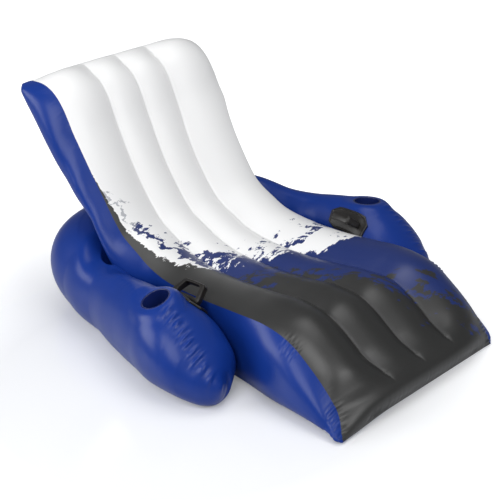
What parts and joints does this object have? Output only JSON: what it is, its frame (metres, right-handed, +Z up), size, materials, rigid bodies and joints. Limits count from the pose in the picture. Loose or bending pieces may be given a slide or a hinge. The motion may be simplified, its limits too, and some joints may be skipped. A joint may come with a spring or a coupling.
{
  "type": "inflatable pool lounge chair",
  "caption": "Inflatable pool chair: a ribbed recliner chamber inside a U-shaped arm chamber, with cup holders, hand grips and air valves.",
  "frame": {"origin": "centre of the bounding box in plan, on the floor that the chair rests on", "axes": "-Y to the foot end, +Y to the head end, +Z up; +X to the right as seen from the foot end, and left and right in the node names are as seen from there"},
  "size_m": [1.3492, 1.566, 0.8401],
  "materials": {
    "printed_vinyl": "satin vinyl film with a printed pattern",
    "blue_vinyl": "glossy vinyl film",
    "clear_vinyl": "translucent soft vinyl",
    "black_vinyl": "moulded soft vinyl"
  },
  "bodies": {
    "chair": {"recliner_top_panel": "printed_vinyl", "recliner_back_panel": "blue_vinyl", "recliner_side_panel_left": "blue_vinyl", "recliner_side_panel_right": "blue_vinyl", "tension_web_left": "clear_vinyl", "tension_web_middle": "clear_vinyl", "tension_web_right": "clear_vinyl", "arm_outer_panel": "blue_vinyl", "arm_inner_panel": "blue_vinyl", "cup_holder_left": "blue_vinyl", "cup_holder_right": "blue_vinyl", "handle_patch_left": "black_vinyl", "handle_patch_right": "black_vinyl", "handle_grip_left": "black_vinyl", "handle_grip_right": "black_vinyl", "joining_strip_left": "blue_vinyl", "joining_strip_right": "blue_vinyl", "recliner_valve_body": "clear_vinyl", "arm_valve_body": "clear_vinyl"},
    "recliner_plug": {"recliner_valve_plug": "clear_vinyl"},
    "recliner_flap": {"recliner_valve_flap": "clear_vinyl"},
    "arm_plug": {"arm_valve_plug": "clear_vinyl"},
    "arm_flap": {"arm_valve_flap": "clear_vinyl"}
  },
  "joints": [
    {"name": "recliner_plug_slide", "type": "slide", "parent": "chair", "child": "recliner_plug", "axis": [0, 0.7222, -0.6917], "range_m": [0, 0.01]},
    {"name": "recliner_flap_hinge", "type": "hinge", "parent": "chair", "child": "recliner_flap", "pos_m": [-0.27255, 0.5544, 0.47809], "axis": [0, -0.6917, -0.7222], "range_deg": [0, 45], "stiffness_Nm_per_rad": 0.0005},
    {"name": "arm_plug_slide", "type": "slide", "parent": "chair", "child": "arm_plug", "axis": [0.2872, 0.905, 0.314], "range_m": [0, 0.01]},
    {"name": "arm_flap_hinge", "type": "hinge", "parent": "chair", "child": "arm_flap", "pos_m": [0.25123, 0.70012, 0.21761], "axis": [0.095, 0.2993, -0.9494], "range_deg": [0, 45], "stiffness_Nm_per_rad": 0.0005}
  ]
}
